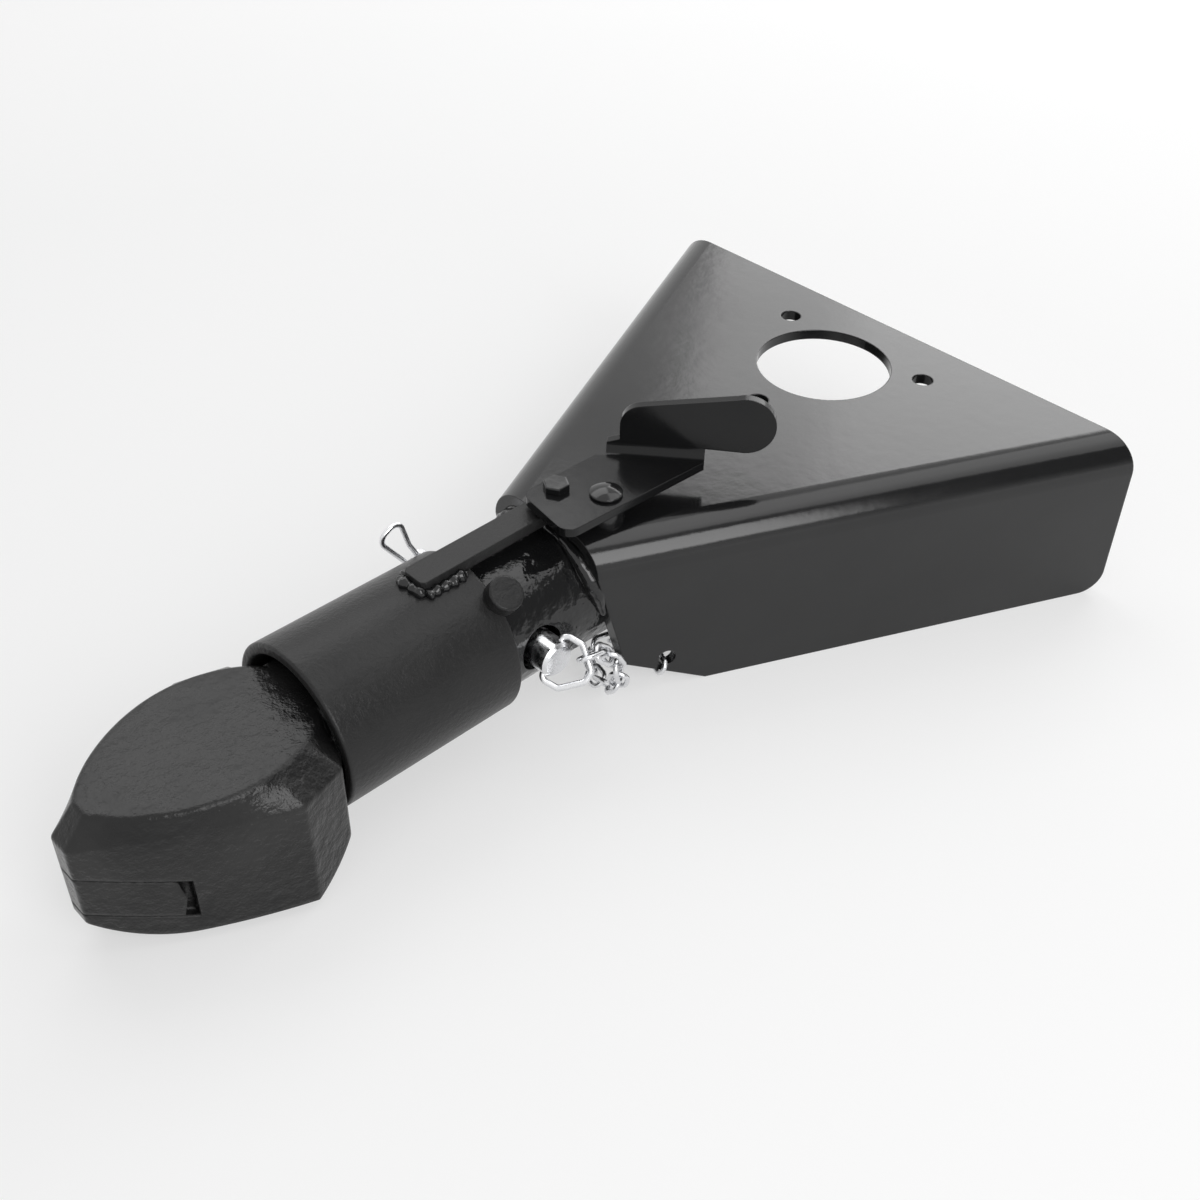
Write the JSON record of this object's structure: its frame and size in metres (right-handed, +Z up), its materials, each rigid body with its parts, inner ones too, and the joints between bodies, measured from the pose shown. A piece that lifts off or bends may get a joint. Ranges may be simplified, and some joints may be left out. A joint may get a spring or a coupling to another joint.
{
  "type": "trailer coupling head",
  "caption": "Black A-frame trailer coupling head: folded channel with a jack hole, tube, sliding locking sleeve with lever, ball housing with hinged lower jaw, and a safety pin on a chain.",
  "frame": {"origin": "centre of the ball socket", "axes": "+X to the nose of the coupler, +Y to its left side where the safety pin's head is, +Z up"},
  "size_m": [0.463, 0.283, 0.1258],
  "materials": {
    "frame_paint": "gloss black paint",
    "head_paint": "satin black paint on a casting",
    "sleeve_paint": "satin black paint with fine speckle",
    "zinc": "bright zinc plate"
  },
  "bodies": {
    "coupler": {"frame_channel": "frame_paint", "shank_tube": "frame_paint", "head_casting": "head_paint", "hinge_key": "head_paint", "pivot_stud": "frame_paint", "tether_chain": "zinc"},
    "sleeve": {"locking_sleeve": "sleeve_paint", "link_bar": "sleeve_paint", "striker_lug": "sleeve_paint"},
    "lever": {"lever_handle": "frame_paint", "link_bolt": "frame_paint"},
    "jaw": {"lower_jaw": "head_paint"},
    "pin": {"safety_pin": "zinc", "pin_ring": "zinc"},
    "clip": {"hairpin_clip": "zinc"}
  },
  "joints": [
    {"name": "sleeve_slide", "type": "slide", "parent": "coupler", "child": "sleeve", "axis": [1, 0, 0], "range_m": [-0.014, 0]},
    {"name": "lever_turn", "type": "hinge", "parent": "coupler", "child": "lever", "pos_m": [-0.18, 0.0176, 0.0659], "axis": [0, 0, 1], "range_deg": [-40.75, 0]},
    {"name": "jaw_drop", "type": "hinge", "parent": "coupler", "child": "jaw", "pos_m": [0.044, 0, -0.002], "axis": [0, 1, 0], "range_deg": [-26.05, 0]},
    {"name": "pin_pull", "type": "slide", "parent": "coupler", "child": "pin", "axis": [0, 1, 0], "range_m": [0, 0.1161], "deforming": ["tether_chain"]},
    {"name": "clip_pull", "type": "slide", "parent": "pin", "child": "clip", "axis": [0.454, 0, 0.891], "range_m": [0, 0.2673]}
  ],
  "couplings": [
    {"joint": "lever_turn", "follows": "sleeve_slide", "rad_per_m": 50.8},
    {"joint": "jaw_drop", "follows": "sleeve_slide", "rad_per_m": 32.41},
    {"joint": "pin_pull", "follows": "sleeve_slide", "ratio": -8.285},
    {"joint": "clip_pull", "follows": "sleeve_slide", "ratio": -19.05}
  ]
}
